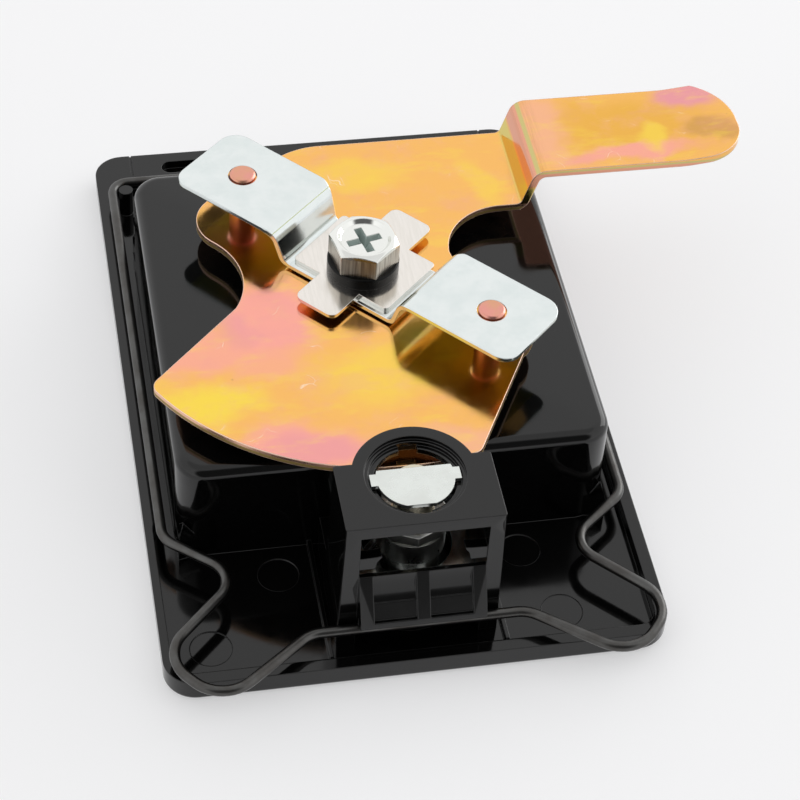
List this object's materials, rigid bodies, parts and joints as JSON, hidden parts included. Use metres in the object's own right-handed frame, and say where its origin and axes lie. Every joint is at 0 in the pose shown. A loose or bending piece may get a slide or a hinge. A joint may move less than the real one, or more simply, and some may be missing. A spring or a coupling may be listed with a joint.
{
  "type": "cabinet handle lock",
  "caption": "Flush handle lock for a cabinet door with a push-button cylinder, yellow latch cam with rod pins, and a wire panel clip.",
  "frame": {"origin": "spindle axis in the plane where the rear of the flange meets the door panel", "axes": "+Z into the cabinet along the spindle, +Y to the top of the flange, +X to the side of the latch arm"},
  "size_m": [0.1286, 0.1496, 0.0401],
  "materials": {
    "moulded_black": "satin to gloss injection-moulded black",
    "black_spring_wire": "black oiled spring wire",
    "acetal": "natural acetal",
    "cast_zinc_black": "satin black powder coat",
    "seal_rubber": "matt black",
    "bright_zinc_plate": "bright zinc-plated sheet",
    "yellow_chromate": "yellow chromate over zinc, iridescent",
    "coppered_steel": "copper-toned chromate",
    "black_spring_steel": "black oxide",
    "bright_zinc_bolt": "bright zinc-plated",
    "nickel_plate": "nickel-plated die casting",
    "brass_nickel": "nickel-plated brass",
    "bare_spring_steel": "bright drawn"
  },
  "bodies": {
    "case_body": {"case": "moulded_black", "lock_housing": "moulded_black", "retaining_wire": "black_spring_wire", "spindle_bush": "acetal"},
    "spindle_body": {"spindle": "cast_zinc_black", "o_ring": "seal_rubber", "thrust_washer": "bright_zinc_plate", "cam": "yellow_chromate", "rod_pin_left": "coppered_steel", "rod_pin_right": "coppered_steel", "rod_bracket": "bright_zinc_plate", "cross_washer": "bright_zinc_plate", "spring_washer": "black_spring_steel", "hex_bolt": "bright_zinc_bolt", "hinge_pin": "bare_spring_steel", "handle_spring": "bare_spring_steel"},
    "handle_body": {"handle": "cast_zinc_black"},
    "button_body": {"button_sleeve": "nickel_plate", "barrel_collar": "nickel_plate"},
    "plug_body": {"key_plug": "brass_nickel", "stop_disc": "bright_zinc_plate"},
    "latch_body": {"latch_plate": "bright_zinc_plate", "latch_springs": "bare_spring_steel"}
  },
  "joints": [
    {"name": "spindle_turn", "type": "hinge", "parent": "case_body", "child": "spindle_body", "pos_m": [0, 0, 0.02], "axis": [0, 0, 1], "range_deg": [0, 90]},
    {"name": "handle_lift", "type": "hinge", "parent": "spindle_body", "child": "handle_body", "pos_m": [0, 0.008, 0.0052], "axis": [1, 0, 0], "range_deg": [0, 45], "stiffness_Nm_per_rad": 0.03, "springref_deg": -28.65, "deforming": ["handle_spring"]},
    {"name": "button_push", "type": "slide", "parent": "case_body", "child": "button_body", "axis": [0, 0, 1], "range_m": [0, 0.0025], "stiffness_N_per_m": 900, "springref_m": -0.0015},
    {"name": "key_turn", "type": "hinge", "parent": "button_body", "child": "plug_body", "pos_m": [0, -0.0563, 0.01], "axis": [0, 0, 1], "range_deg": [0, 90]},
    {"name": "latch_slide", "type": "slide", "parent": "case_body", "child": "latch_body", "axis": [0, -1, 0], "range_m": [0, 0.0025], "deforming": ["latch_springs"]}
  ],
  "couplings": [
    {"joint": "latch_slide", "follows": "button_push", "ratio": 1}
  ]
}
